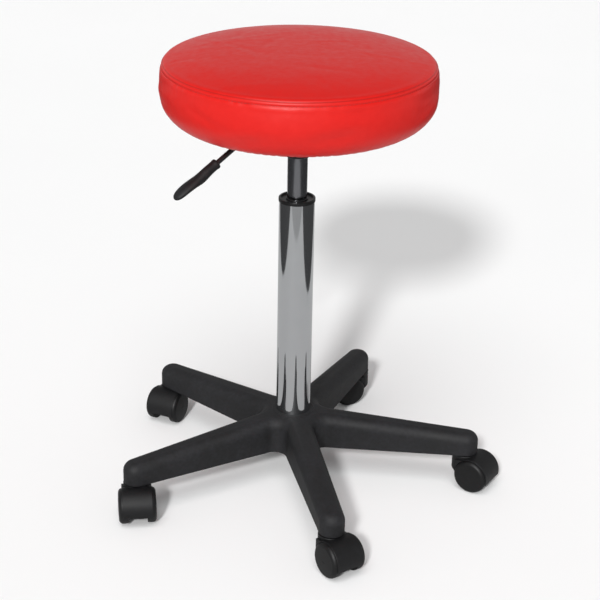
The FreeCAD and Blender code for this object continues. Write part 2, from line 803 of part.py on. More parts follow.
def make_lever_rod():
    """Round bar: straight over the release button, then bent down to the paddle."""
    bend = math.radians(LEVER_DROP)
    run = PADDLE_START_R - LEVER_BEND_R + PADDLE_SOCKET_DEPTH * math.cos(bend)
    start = rz(-4.0, LEVER_Z)
    corner = rz(LEVER_BEND_R, LEVER_Z)
    end = rz(LEVER_BEND_R + run, LEVER_Z - run * math.tan(bend))
    setback = LEVER_BEND_CURVE_R * math.tan(bend / 2)
    down = Vector(math.cos(bend), 0, -math.sin(bend))
    first = corner - Vector(setback, 0, 0)
    last = corner + down * setback
    centre = first - Vector(0, 0, LEVER_BEND_CURVE_R)
    middle = centre + rz(math.sin(bend / 2), math.cos(bend / 2)) * LEVER_BEND_CURVE_R
    path = Part.Wire(
        [
            Part.LineSegment(start, first).toShape(),
            Part.Arc(first, middle, last).toShape(),
            Part.LineSegment(last, end).toShape(),
        ]
    )
    ring = Part.Wire([Part.Circle(start, Vector(1, 0, 0), LEVER_ROD_R).toShape()])
    rod = path.makePipeShell([ring], True, False)
    hole = Part.makeCylinder(PIVOT_PIN_R + 0.05, 20, Vector(LEVER_PIVOT_R, -10, LEVER_Z), Vector(0, 1, 0))
    return lever_frame(rod.cut(hole).removeSplitter())


def make_lever_paddle():
    """Moulded paddle: round sleeve on the rod that flattens into a drooping rounded blade."""
    bend = math.radians(LEVER_DROP)
    z0 = LEVER_Z - (PADDLE_START_R - LEVER_BEND_R) * math.tan(bend)
    core_depth = PADDLE_SOCKET_DEPTH + 1.2
    # along the paddle: distance, lift off the rod's line, half width, half thickness
    stations = [
        (0.0, 0.0, 7.6, 7.0),
        (18.0, 0.0, 7.6, 7.0),
        (28.0, -0.8, 8.4, 6.9),
        (36.0, -0.5, 9.2, 5.9),
        (46.0, 0.8, 10.0, 4.9),
        (58.0, 1.5, 10.2, 4.6),
        (69.0, 1.4, 9.0, 4.2),
        (76.0, 1.0, 5.5, 2.8),
    ]
    along = Vector(math.cos(bend), 0, -math.sin(bend))
    lift = Vector(math.sin(bend), 0, math.cos(bend))
    rings = []
    for distance, rise, half_width, half_thick in stations:
        centre = rz(PADDLE_START_R, z0) + along * distance + lift * rise
        oval = Part.Ellipse(Vector(0, 0, 0), half_width, half_thick).toShape()
        turn = Rotation(Vector(0, 1, 0), lift, along * -1, "XZY")
        oval.Placement = Placement(centre, turn)
        rings.append(Part.Wire([oval]))
    blade = Part.makeLoft(rings, True, False)
    mouth = rz(PADDLE_START_R, z0) - along
    core = Part.makeCylinder(LEVER_ROD_R + 0.02, core_depth, mouth, along)
    return lever_frame(blade.cut(core))


# ---- write the nodes ----------------------------------------------------------------------------
def write_base():
    save("star_base", make_star_base())
    save("hub_reinforcing_ring", make_hub_ring())
    save("column_tube", make_column_tube())
    save("column_guide_bush", make_guide_bush())
    save("column_end_plate", make_end_plate())
    save("clip_washer", tube(WASHER_R, ROD_FOOT_R + 0.3, CLIP_Z + 1.3, END_PLATE_Z))
    save("thrust_bearing_lower_race", tube(RACE_R, ROD_FOOT_R + 0.3, 47.5, BALL_Z - BALL_R))
    save("thrust_bearing_balls", group(make_bearing_balls()))
    save("thrust_bearing_cage", make_bearing_cage())
    stems = []
    rings = []
    for leg in range(LEGS):
        x, y = on_circle(STEM_CIRCLE_R, leg_angle(leg))
        stems.append(placed(make_stem(), x, y))
        rings.append(placed(make_grip_ring(), x, y, leg_angle(leg)))
    save("castor_stems", group(stems))
    save("stem_grip_rings", group(rings))


def write_castors():
    for leg in range(LEGS):
        x, y = on_circle(STEM_CIRCLE_R, leg_angle(leg))
        heading = CASTOR_HEADINGS[leg]
        save(f"castor_{leg + 1}_housing", placed(make_housing(), x, y, heading))
        save(f"castor_{leg + 1}_axle", placed(make_axle(), x, y, heading))
        save(f"castor_{leg + 1}_wheel_left", placed(make_wheel(1), x, y, heading))
        save(f"castor_{leg + 1}_wheel_right", placed(make_wheel(-1), x, y, heading))


def write_lift():
    save("piston_rod", make_piston_rod())
    save("piston", make_piston())
    save("piston_ring", make_piston_ring())
    save("rubber_bumper", make_rubber_bumper())
    save("thrust_bearing_upper_race", make_upper_race())
    save("rod_retaining_clip", make_retaining_clip())
    save("gas_cylinder", make_gas_cylinder())
    save("rod_guide", make_rod_guide())
    save("rod_seal", make_rod_seal())
    save("valve_body", make_valve_body())
    save("release_button", make_release_button())


def write_seat():
    save("seat_plate", make_seat_plate())
    save("taper_socket", make_taper_socket())
    save("plate_screws", group(make_plate_screws()))
    save("lock_washers", group(make_lock_washers()))
    save("t_nuts", group(make_t_nuts()))
    save("seat_board", make_seat_board())
    save("seat_foam", make_seat_foam())
    save("seat_cover", make_seat_cover())
    save("dust_cover", make_dust_cover())
    save("seat_staples", group(make_staples()))


def write_lever():
    save("lever_bracket", make_lever_bracket())
    save("lever_pivot_pin", make_pivot_pin())
    save("lever_rod", make_lever_rod())
    save("lever_paddle", make_lever_paddle())


write_base()
write_castors()
write_lift()
write_seat()
write_lever()
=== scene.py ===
"""Looks of the rolling stylist stool: upholstery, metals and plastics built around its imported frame.

Metres, +Z up, origin on the floor under the column. A CAD node keeps its own mesh and gets a material.
The cushion, its stitches, the dust cover, its staples and the lever's paddle are pieces of their own.
"""
import json
import math
import random

import bmesh
import bpy
import numpy as np
from mathutils import Matrix, Vector
from mathutils.bvhtree import BVHTree


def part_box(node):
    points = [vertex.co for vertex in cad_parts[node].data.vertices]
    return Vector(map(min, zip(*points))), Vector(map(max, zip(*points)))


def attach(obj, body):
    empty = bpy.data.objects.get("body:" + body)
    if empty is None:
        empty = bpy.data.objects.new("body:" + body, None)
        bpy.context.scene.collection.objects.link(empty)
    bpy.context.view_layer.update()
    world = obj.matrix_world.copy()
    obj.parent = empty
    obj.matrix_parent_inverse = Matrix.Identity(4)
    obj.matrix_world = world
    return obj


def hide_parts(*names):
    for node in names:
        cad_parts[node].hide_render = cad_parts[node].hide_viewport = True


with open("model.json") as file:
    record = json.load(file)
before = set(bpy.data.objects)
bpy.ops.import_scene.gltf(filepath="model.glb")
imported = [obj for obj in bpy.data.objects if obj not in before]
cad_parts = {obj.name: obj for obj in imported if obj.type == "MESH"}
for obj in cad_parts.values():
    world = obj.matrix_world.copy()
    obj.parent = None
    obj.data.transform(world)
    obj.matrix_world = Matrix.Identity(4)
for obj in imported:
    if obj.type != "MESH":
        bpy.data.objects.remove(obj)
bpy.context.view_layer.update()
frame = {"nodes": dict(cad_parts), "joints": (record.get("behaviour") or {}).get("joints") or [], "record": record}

MM = 0.001
UP = Vector((0, 0, 1))

# the cushion's outline, from the cover's CAD box
cover_low, cover_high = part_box("seat_cover")
SEAT_R = (cover_high.x - cover_low.x) / 2
SEAT_LOW = cover_low.z
SEAT_HIGH = cover_high.z
CROWN_HEIGHT = 16 * MM
CROWN_POWER = 4.0
SEAM_R = SEAT_R - 6 * MM
SEAM_Z = SEAT_HIGH - 19 * MM
WIDEST_Z = SEAM_Z - 36 * MM
UNDER_CURVE_R = WIDEST_Z - SEAT_LOW
UNDER_FLAT_R = SEAT_R - UNDER_CURVE_R
HEM_R = 119 * MM

# sewing
STITCH_DROP = 5.8 * MM
STITCH_PITCH = 4.6 * MM
STITCH_LENGTH = 3.4 * MM
THREAD_R = 0.45 * MM
PLEATS = 84

# the camera and the studio
CAMERA_PLACE = Vector((-0.4416, -2.0120, 1.2215))
CAMERA_HEADING = math.radians(-11.50)
CAMERA_TILT = math.radians(65.41)
CAMERA_ROLL = math.radians(0.703)
CAMERA_LENS = 95.07
CAMERA_SHIFT = 0.045
KEY_DIRECTION = Vector((-0.37, -0.80, 0.55))
KEY_SPREAD = 6.0
KEY_POWER = 2.3
HIGH_DIRECTION = Vector((-0.3, -0.7, 1.4))
HIGH_SPREAD = 40.0
HIGH_POWER = 1.2


# ---- small helpers ------------------------------------------------------------------------------
def linear(hex_colour):
    """An sRGB hex colour as linear RGBA."""
    shares = [int(hex_colour[i : i + 2], 16) / 255 for i in (1, 3, 5)]
    return [s / 12.92 if s <= 0.04045 else ((s + 0.055) / 1.055) ** 2.4 for s in shares] + [1.0]


def add(tree, kind, inputs=None, **settings):
    """Adds a node with its settings; an input takes a value, or a link from another node's output."""
    node = tree.nodes.new(kind)
    for name, value in settings.items():
        setattr(node, name, value)
    for name, value in (inputs or {}).items():
        if isinstance(value, bpy.types.NodeSocket):
            tree.links.new(value, node.inputs[name])
        else:
            node.inputs[name].default_value = value
    return node


def new_material(name):
    material = bpy.data.materials.new(name)
    material.use_nodes = True
    material.node_tree.nodes.clear()
    return material, material.node_tree


def new_object(name, mesh):
    piece = bpy.data.objects.new(name, mesh)
    bpy.context.scene.collection.objects.link(piece)
    return piece


def mesh_from(name, points, faces, smooth=True):
    mesh = bpy.data.meshes.new(name)
    mesh.from_pydata([tuple(p) for p in points], [], faces)
    mesh.validate()
    mesh.polygons.foreach_set("use_smooth", [smooth] * len(mesh.polygons))
    mesh.update()
    return mesh


def baked(piece):
    """The piece with its modifiers turned into plain mesh."""
    graph = bpy.context.evaluated_depsgraph_get()
    mesh = bpy.data.meshes.new_from_object(piece.evaluated_get(graph), depsgraph=graph)
    piece.modifiers.clear()
    piece.data = mesh
    return piece


def paint(piece, material):
    piece.data.materials.clear()
    piece.data.materials.append(material)


# ---- materials ----------------------------------------------------------------------------------
def coated_upholstery():
    """Polyurethane-coated fabric, calendered: a smooth satin skin with a fine pebble grain."""
    material, tree = new_material("coated_upholstery_red")
    place = add(tree, "ShaderNodeTexCoord").outputs["Object"]
    # the real pebble is about 0.7 mm; 1.3 mm is the finest that shows
    grain = add(
        tree, "ShaderNodeTexVoronoi", {"Vector": place, "Scale": 1 / (1.3 * MM)}, feature="SMOOTH_F1"
    )
    slack = add(tree, "ShaderNodeTexNoise", {"Vector": place, "Scale": 1 / (45 * MM), "Detail": 3.0})
    mottle = add(tree, "ShaderNodeTexNoise", {"Vector": place, "Scale": 1 / (9 * MM), "Detail": 4.0})
    below_seam = add(tree, "ShaderNodeAttribute", attribute_name="below_seam").outputs["Fac"]
    # painted shade: the colour darkens to a deep red along the seam's groove
    from_seam = add(tree, "ShaderNodeMath", {0: below_seam}, operation="ABSOLUTE")
    seam_groove_shade = add(
        tree,
        "ShaderNodeMapRange",
        {
            "Value": from_seam.outputs[0],
            "From Min": 0.2 * MM,
            "From Max": 1.6 * MM,
            "To Min": 1.0,
            "To Max": 0.0,
        },
    )
    tint = add(
        tree,
        "ShaderNodeMix",
        {0: mottle.outputs["Fac"], 6: linear("#C40F09"), 7: linear("#CE140B")},
        data_type="RGBA",
    )
    # painted shade in the seam's groove, mixed over the red tint
    colour = add(
        tree,
        "ShaderNodeMix",
        {0: seam_groove_shade.outputs[0], 6: tint.outputs[2], 7: linear("#A3100A")},
        data_type="RGBA",
    )
    gloss = add(
        tree,
        "ShaderNodeMapRange",
        {
            "Value": mottle.outputs["Fac"],
            "From Min": 0.3,
            "From Max": 0.7,
            "To Min": 0.36,
            "To Max": 0.46,
        },
    )
    soft = add(
        tree, "ShaderNodeBump", {"Height": slack.outputs["Fac"], "Strength": 0.35, "Distance": 2.0 * MM}
    )
    pebble = add(
        tree,
        "ShaderNodeBump",
        {
            "Height": grain.outputs["Distance"],
            "Strength": 0.25,
            "Distance": 0.18 * MM,
            "Normal": soft.outputs[0],
        },
    )
    shader = add(
        tree,
        "ShaderNodeBsdfPrincipled",
        {
            "Base Color": colour.outputs[2],
            "Roughness": gloss.outputs[0],
            "IOR": 1.5,
            # the grain shades part of its own gloss
            "Specular IOR Level": 0.32,
            "Normal": pebble.outputs[0],
        },
    )
    add(tree, "ShaderNodeOutputMaterial", {"Surface": shader.outputs[0]})
    return material


def moulded_plastic(name, base, bloom, rough_low, rough_high, texture_size, texture_height):
    """Injection-moulded black plastic: spark-eroded texture, faint flow marks and a grey bloom."""
    material, tree = new_material(name)
    place = add(tree, "ShaderNodeTexCoord").outputs["Object"]
    texture = add(
        tree, "ShaderNodeTexNoise", {"Vector": place, "Scale": 1 / texture_size, "Detail": 3.0}
    )
    flow = add(
        tree,
        "ShaderNodeTexNoise",
        {"Vector": place, "Scale": 1 / (38 * MM), "Detail": 4.0, "Distortion": 1.2},
    )
    dust = add(tree, "ShaderNodeTexNoise", {"Vector": place, "Scale": 1 / (5 * MM), "Detail": 5.0})
    patches = add(
        tree, "ShaderNodeMath", {0: flow.outputs["Fac"], 1: dust.outputs["Fac"]}, operation="MULTIPLY"
    )
    share = add(
        tree,
        "ShaderNodeMapRange",
        {"Value": patches.outputs[0], "From Min": 0.12, "From Max": 0.42, "To Min": 0.0, "To Max": 1.0},
    )
    colour = add(
        tree, "ShaderNodeMix", {0: share.outputs[0], 6: linear(base), 7: linear(bloom)}, data_type="RGBA"
    )
    gloss = add(
        tree,
        "ShaderNodeMapRange",
        {
            "Value": flow.outputs["Fac"],
            "From Min": 0.3,
            "From Max": 0.7,
            "To Min": rough_low,
            "To Max": rough_high,
        },
    )
    bump = add(
        tree,
        "ShaderNodeBump",
        {"Height": texture.outputs["Fac"], "Strength": 0.5, "Distance": texture_height},
    )
    shader = add(
        tree,
        "ShaderNodeBsdfPrincipled",
        {
            "Base Color": colour.outputs[2],
            "Roughness": gloss.outputs[0],
            "IOR": 1.53,
            # the eroded texture shades part of its own gloss
            "Specular IOR Level": 0.3,
            "Normal": bump.outputs[0],
        },
    )
    add(tree, "ShaderNodeOutputMaterial", {"Surface": shader.outputs[0]})
    return material


def worked_metal(name, bright, dull, rough_low, rough_high, line_spacing, line_height):
    """Metal with fine rings about the Z axis, as turning, grinding or polishing leaves them."""
    material, tree = new_material(name)
    place = add(tree, "ShaderNodeTexCoord").outputs["Object"]
    round_scale = 0.04 / line_spacing
    stretched = add(
        tree,
        "ShaderNodeMapping",
        {"Vector": place, "Scale": (round_scale, round_scale, 1 / line_spacing)},
    )
    lines = add(
        tree, "ShaderNodeTexNoise", {"Vector": stretched.outputs[0], "Scale": 1.0, "Detail": 2.0}
    )
    smudge = add(tree, "ShaderNodeTexNoise", {"Vector": place, "Scale": 1 / (24 * MM), "Detail": 5.0})
    colour = add(
        tree,
        "ShaderNodeMix",
        {0: smudge.outputs["Fac"], 6: linear(bright), 7: linear(dull)},
        data_type="RGBA",
    )
    gloss = add(
        tree,
        "ShaderNodeMapRange",
        {
            "Value": smudge.outputs["Fac"],
            "From Min": 0.3,
            "From Max": 0.7,
            "To Min": rough_low,
            "To Max": rough_high,
        },
    )
    bump = add(
        tree,
        "ShaderNodeBump",
        {"Height": lines.outputs["Fac"], "Strength": 0.3, "Distance": line_height},
    )
    shader = add(
        tree,
        "ShaderNodeBsdfPrincipled",
        {
            "Base Color": colour.outputs[2],
            "Metallic": 1.0,
            "Roughness": gloss.outputs[0],
            "Normal": bump.outputs[0],
        },
    )
    add(tree, "ShaderNodeOutputMaterial", {"Surface": shader.outputs[0]})
    return material


def dipped_paint():
    """Black dip paint on pressed steel: thin, semi-gloss, with a light orange peel."""
    material, tree = new_material("dip_paint_black")
    place = add(tree, "ShaderNodeTexCoord").outputs["Object"]
    peel = add(tree, "ShaderNodeTexNoise", {"Vector": place, "Scale": 1 / (2.2 * MM), "Detail": 2.0})
    cloud = add(tree, "ShaderNodeTexNoise", {"Vector": place, "Scale": 1 / (30 * MM), "Detail": 4.0})
    colour = add(
        tree,
        "ShaderNodeMix",
        {0: cloud.outputs["Fac"], 6: linear("#101011"), 7: linear("#1E1E20")},
        data_type="RGBA",
    )
    gloss = add(
        tree,
        "ShaderNodeMapRange",
        {
            "Value": cloud.outputs["Fac"],
            "From Min": 0.3,
            "From Max": 0.7,
            "To Min": 0.26,
            "To Max": 0.38,
        },
    )
    bump = add(
        tree, "ShaderNodeBump", {"Height": peel.outputs["Fac"], "Strength": 0.3, "Distance": 0.15 * MM}
    )
    shader = add(
        tree,
        "ShaderNodeBsdfPrincipled",
        {
            "Base Color": colour.outputs[2],
            "Roughness": gloss.outputs[0],
            "IOR": 1.52,
            "Normal": bump.outputs[0],
        },
    )
    add(tree, "ShaderNodeOutputMaterial", {"Surface": shader.outputs[0]})
    return material


def nitrile_rubber():
    """Moulded nitrile rubber: dull, dark, with a dusty bloom."""
    material, tree = new_material("nitrile_rubber")
    place = add(tree, "ShaderNodeTexCoord").outputs["Object"]
    bloom = add(tree, "ShaderNodeTexNoise", {"Vector": place, "Scale": 1 / (4 * MM), "Detail": 6.0})
    colour = add(
        tree,
        "ShaderNodeMix",
        {0: bloom.outputs["Fac"], 6: linear("#161617"), 7: linear("#2C2C2D")},
        data_type="RGBA",
    )
    bump = add(
        tree, "ShaderNodeBump", {"Height": bloom.outputs["Fac"], "Strength": 0.3, "Distance": 0.2 * MM}
    )
    shader = add(
        tree,
        "ShaderNodeBsdfPrincipled",
        {"Base Color": colour.outputs[2], "Roughness": 0.8, "IOR": 1.52, "Normal": bump.outputs[0]},
    )
    add(tree, "ShaderNodeOutputMaterial", {"Surface": shader.outputs[0]})
    return material


def birch_plywood():
    """Birch plywood: pale figured faces, and plies 1.7 mm thick that alternate at the edge."""
    material, tree = new_material("birch_plywood")
    place = add(tree, "ShaderNodeTexCoord").outputs["Object"]
    along_grain = add(tree, "ShaderNodeMapping", {"Vector": place, "Scale": (12.0, 220.0, 12.0)})
    figure = add(
        tree,
        "ShaderNodeTexNoise",
        {"Vector": along_grain.outputs[0], "Scale": 1.0, "Detail": 6.0, "Distortion": 0.6},
    )
    plies = add(
        tree,
        "ShaderNodeTexWave",
        {"Vector": place, "Scale": 1 / (20 * 3.4 * MM)},
        bands_direction="Z",
        wave_profile="SIN",
    )
    pale = add(
        tree,
        "ShaderNodeMix",
        {0: figure.outputs["Fac"], 6: linear("#D9BE93"), 7: linear("#B98F5C")},
        data_type="RGBA",
    )
    dark_ply = add(tree, "ShaderNodeMath", {0: plies.outputs["Fac"], 1: 0.45}, operation="MULTIPLY")
    colour = add(
        tree,
        "ShaderNodeMix",
        {0: dark_ply.outputs[0], 6: pale.outputs[2], 7: linear("#8A6238")},
        data_type="RGBA",
    )
    bump = add(
        tree, "ShaderNodeBump", {"Height": figure.outputs["Fac"], "Strength": 0.3, "Distance": 0.3 * MM}
    )
    shader = add(
        tree,
        "ShaderNodeBsdfPrincipled",
        {"Base Color": colour.outputs[2], "Roughness": 0.62, "IOR": 1.5, "Normal": bump.outputs[0]},
    )
    add(tree, "ShaderNodeOutputMaterial", {"Surface": shader.outputs[0]})
    return material


def open_cell_foam():
    """Moulded polyurethane foam: cream, matt, pitted with small open cells."""
    material, tree = new_material("open_cell_foam")
    place = add(tree, "ShaderNodeTexCoord").outputs["Object"]
    cells = add(tree, "ShaderNodeTexVoronoi", {"Vector": place, "Scale": 1 / (1.6 * MM)})
    # painted shade: the colour darkens into the pit of each open cell
    colour = add(
        tree,
        "ShaderNodeMix",
        {0: cells.outputs["Distance"], 6: linear("#C9B46E"), 7: linear("#EFE2AE")},
        data_type="RGBA",
    )
    bump = add(
        tree,
        "ShaderNodeBump",
        {"Height": cells.outputs["Distance"], "Strength": 0.8, "Distance": 0.6 * MM},
    )
    shader = add(
        tree,
        "ShaderNodeBsdfPrincipled",
        {"Base Color": colour.outputs[2], "Roughness": 0.95, "IOR": 1.4, "Normal": bump.outputs[0]},
    )
    add(tree, "ShaderNodeOutputMaterial", {"Surface": shader.outputs[0]})
    return material


def spun_bonded_cloth():
    """Black spun-bonded polypropylene: matt fibres pressed together in a diamond pattern of dots."""
    material, tree = new_material("spun_bonded_cloth")
    place = add(tree, "ShaderNodeTexCoord").outputs["Object"]
    fibres = add(
        tree,
        "ShaderNodeTexNoise",
        {"Vector": place, "Scale": 1 / (1.5 * MM), "Detail": 8.0, "Distortion": 2.5},
    )
    turned = add(
        tree,
        "ShaderNodeMapping",
        {"Vector": place, "Rotation": (0, 0, math.radians(45)), "Scale": (1 / (2.4 * MM),) * 3},
    )
    dots = add(
        tree, "ShaderNodeTexVoronoi", {"Vector": turned.outputs[0], "Scale": 1.0, "Randomness": 0.0}
    )
    pressed = add(
        tree,
        "ShaderNodeMapRange",
        {
            "Value": dots.outputs["Distance"],
            "From Min": 0.15,
            "From Max": 0.3,
            "To Min": 0.0,
            "To Max": 1.0,
        },
    )
    fuzz = add(
        tree, "ShaderNodeMath", {0: fibres.outputs["Fac"], 1: pressed.outputs[0]}, operation="MULTIPLY"
    )
    colour = add(
        tree,
        "ShaderNodeMix",
        {0: fuzz.outputs[0], 6: linear("#131314"), 7: linear("#303032")},
        data_type="RGBA",
    )
    bump = add(
        tree, "ShaderNodeBump", {"Height": fuzz.outputs[0], "Strength": 0.5, "Distance": 0.25 * MM}
    )
    shader = add(
        tree,
        "ShaderNodeBsdfPrincipled",
        {
            "Base Color": colour.outputs[2],
            "Roughness": 0.9,
            "IOR": 1.49,
            "Sheen Weight": 0.3,
            "Normal": bump.outputs[0],
        },
    )
    add(tree, "ShaderNodeOutputMaterial", {"Surface": shader.outputs[0]})
    return material


def bonded_thread():
    """Bonded polyester thread, dyed to the cover and a shade darker, with the twist of its strands."""
    material, tree = new_material("bonded_thread_red")
    place = add(tree, "ShaderNodeTexCoord").outputs["Object"]
    twist = add(tree, "ShaderNodeTexNoise", {"Vector": place, "Scale": 1 / (0.6 * MM), "Detail": 2.0})
    colour = add(
        tree,
        "ShaderNodeMix",
        {0: twist.outputs["Fac"], 6: linear("#9C0E08"), 7: linear("#C4170F")},
        data_type="RGBA",
    )
    bump = add(
        tree, "ShaderNodeBump", {"Height": twist.outputs["Fac"], "Strength": 0.5, "Distance": 0.1 * MM}
    )
    shader = add(
        tree,
        "ShaderNodeBsdfPrincipled",
        {"Base Color": colour.outputs[2], "Roughness": 0.55, "IOR": 1.55, "Normal": bump.outputs[0]},
    )
    add(tree, "ShaderNodeOutputMaterial", {"Surface": shader.outputs[0]})
    return material


def studio_paper(name, one, other):
    """Matt studio sheet, barely clouded."""
    material, tree = new_material(name)
    place = add(tree, "ShaderNodeTexCoord").outputs["Object"]
    cloud = add(tree, "ShaderNodeTexNoise", {"Vector": place, "Scale": 1.5, "Detail": 2.0})
    colour = add(
        tree,
        "ShaderNodeMix",
        {0: cloud.outputs["Fac"], 6: linear(one), 7: linear(other)},
        data_type="RGBA",
    )
    shader = add(tree, "ShaderNodeBsdfPrincipled", {"Base Color": colour.outputs[2], "Roughness": 0.9})
    add(tree, "ShaderNodeOutputMaterial", {"Surface": shader.outputs[0]})
    return material


upholstery = coated_upholstery()
base_nylon = moulded_plastic("glass_filled_nylon", "#151516", "#212124", 0.6, 0.7, 1.1 * MM, 0.12 * MM)
hood_nylon = moulded_plastic("castor_hood_nylon", "#0A0A0B", "#111113", 0.48, 0.56, 0.9 * MM, 0.06 * MM)
wheel_nylon = moulded_plastic("wheel_nylon", "#080809", "#0F0F10", 0.44, 0.52, 1.4 * MM, 0.03 * MM)
collar_plastic = moulded_plastic("acetal_collar", "#0F0F10", "#1B1B1C", 0.3, 0.4, 0.9 * MM, 0.04 * MM)
paddle_plastic = moulded_plastic("textured_polypropylene", "#0C0C0D", "#1A1A1C", 0.48, 0.6, 1.4 * MM, 0.3 * MM)
chrome = worked_metal("polished_chrome", "#CCCED0", "#C5C7C9", 0.045, 0.075, 1.5 * MM, 0.004 * MM)
gunmetal = worked_metal("burnished_gas_cylinder", "#A2A3A7", "#8B8C90", 0.16, 0.24, 0.9 * MM, 0.02 * MM)
bright_steel = worked_metal("turned_steel", "#B9B7B2", "#9C9A96", 0.25, 0.38, 0.8 * MM, 0.03 * MM)
zinc_plate = worked_metal("zinc_plated_steel", "#C2C6C8", "#A4A9AA", 0.28, 0.4, 1.2 * MM, 0.02 * MM)
spring_steel = worked_metal("oiled_spring_steel", "#5A564F", "#403D39", 0.3, 0.42, 1.0 * MM, 0.02 * MM)
black_paint = dipped_paint()
rubber = nitrile_rubber()
plywood = birch_plywood()
foam = open_cell_foam()
dust_cloth = spun_bonded_cloth()
thread = bonded_thread()

SLOT_MATERIALS = {
    "base_nylon": base_nylon,
    "castor_nylon": hood_nylon,
    "wheel_nylon": wheel_nylon,
    "column_chrome": chrome,
    "cylinder_steel": gunmetal,
    "plain_steel": bright_steel,
    "spring_steel": spring_steel,
    "bush_plastic": collar_plastic,
    "black_paint": black_paint,
    "paddle_plastic": paddle_plastic,
    "seal_rubber": rubber,
    "red_upholstery": upholstery,
    "foam": foam,
    "plywood": plywood,
    "dust_cloth": dust_cloth,
}
ZINC_NODES = ("plate_screws", "lock_washers", "t_nuts", "seat_staples")


def dress_cad_nodes():
    """Every carried-over node takes the material of its slot in the record."""
    for part in frame["record"]["subparts"]:
        node = part["node"]
        finish = zinc_plate if node in ZINC_NODES else SLOT_MATERIALS[part["material_slot"]]
        paint(frame["nodes"][node], finish)


# ---- cushion ------------------------------------------------------------------------------------
TOP_RINGS = 38
ROUND = 8 * TOP_RINGS
# distances from the seam where the rings stand close, for the groove and the stitched band
CLOSE_TOP = [4.5 * MM, 3.0 * MM, 1.8 * MM, 0.8 * MM, 0.0]
CLOSE_SIDE = [0.8 * MM, 1.8 * MM, 2.9 * MM, 3.9 * MM, 4.9 * MM, 5.8 * MM, 6.7 * MM, 8.2 * MM, 10.6 * MM]
SIDE_STEP = 4.0 * MM
# the band that the seam and its stitching hold, above and below the seam
HELD_ABOVE = 2.5 * MM
HELD_BELOW = 6.8 * MM


def crown(radius):
    return SEAM_Z + CROWN_HEIGHT * (1 - (radius / SEAM_R) ** CROWN_POWER)


def side_outline():
    """From the seam down the side and under to the hem: distance from the seam, radius, height."""
    drop = np.linspace(0, 1, 60)
    radii = SEAM_R + (SEAT_R - SEAM_R) * np.sin(drop * math.pi / 2)
    heights = SEAM_Z - (SEAM_Z - WIDEST_Z) * drop
    turn = np.linspace(0, math.pi / 2, 90)[1:]
    radii = np.r_[radii, UNDER_FLAT_R + UNDER_CURVE_R * np.cos(turn), HEM_R]
    heights = np.r_[heights, WIDEST_Z - UNDER_CURVE_R * np.sin(turn), SEAT_LOW]
    steps = np.hypot(np.diff(radii), np.diff(heights))
    return np.r_[0, np.cumsum(steps)], radii, heights


def grid_place(i, j):
    """Ring and place along it of a point of the square grid, so that its rings become circles."""
    ring = max(abs(i), abs(j))
    if i == ring:
        return ring, j % (8 * ring) if ring else 0
    if j == ring:
        return ring, 2 * ring - i
    if i == -ring:
        return ring, 4 * ring - j
    return ring, 6 * ring + i


def cushion_mesh():
    """Top panel as a square grid drawn into a circle, then rings down the side and under it."""
    wide = TOP_RINGS - len(CLOSE_TOP)
    ring_radii = [(SEAM_R - CLOSE_TOP[0]) * k / (wide + 1) for k in range(wide + 1)]
    ring_radii += [SEAM_R - d for d in CLOSE_TOP]
    lengths, radii, heights = side_outline()
    stations = CLOSE_SIDE + list(np.arange(CLOSE_SIDE[-1] + SIDE_STEP, lengths[-1], SIDE_STEP)) + [lengths[-1]]
    points, index, below = [], {}, []
    span = range(-TOP_RINGS, TOP_RINGS + 1)
    seam_ring = [0] * ROUND
    for i in span:
        for j in span:
            ring, step = grid_place(i, j)
            angle = 2 * math.pi * step / (8 * ring) if ring else 0.0
            radius = ring_radii[ring]
            index[i, j] = len(points)
            if ring == TOP_RINGS:
                seam_ring[step] = len(points)
            points.append((radius * math.cos(angle), radius * math.sin(angle), crown(radius)))
            below.append(radius - SEAM_R)
    faces = [
        (index[i, j], index[i + 1, j], index[i + 1, j + 1], index[i, j + 1])
        for i in span[:-1]
        for j in span[:-1]
    ]
    upper = seam_ring
    for station in stations:
        radius = float(np.interp(station, lengths, radii))
        height = float(np.interp(station, lengths, heights))
        lower = [len(points) + k for k in range(ROUND)]
        for k in range(ROUND):
            angle = 2 * math.pi * k / ROUND
            points.append((radius * math.cos(angle), radius * math.sin(angle), height))
            below.append(station)
        for k in range(ROUND):
            after = (k + 1) % ROUND
            faces.append((upper[k], lower[k], lower[after], upper[after]))
        upper = lower
    mesh = mesh_from("seat_cushion", points, faces)
    mesh.attributes.new("below_seam", "FLOAT", "POINT").data.foreach_set("value", below)
    return mesh, np.array(below)


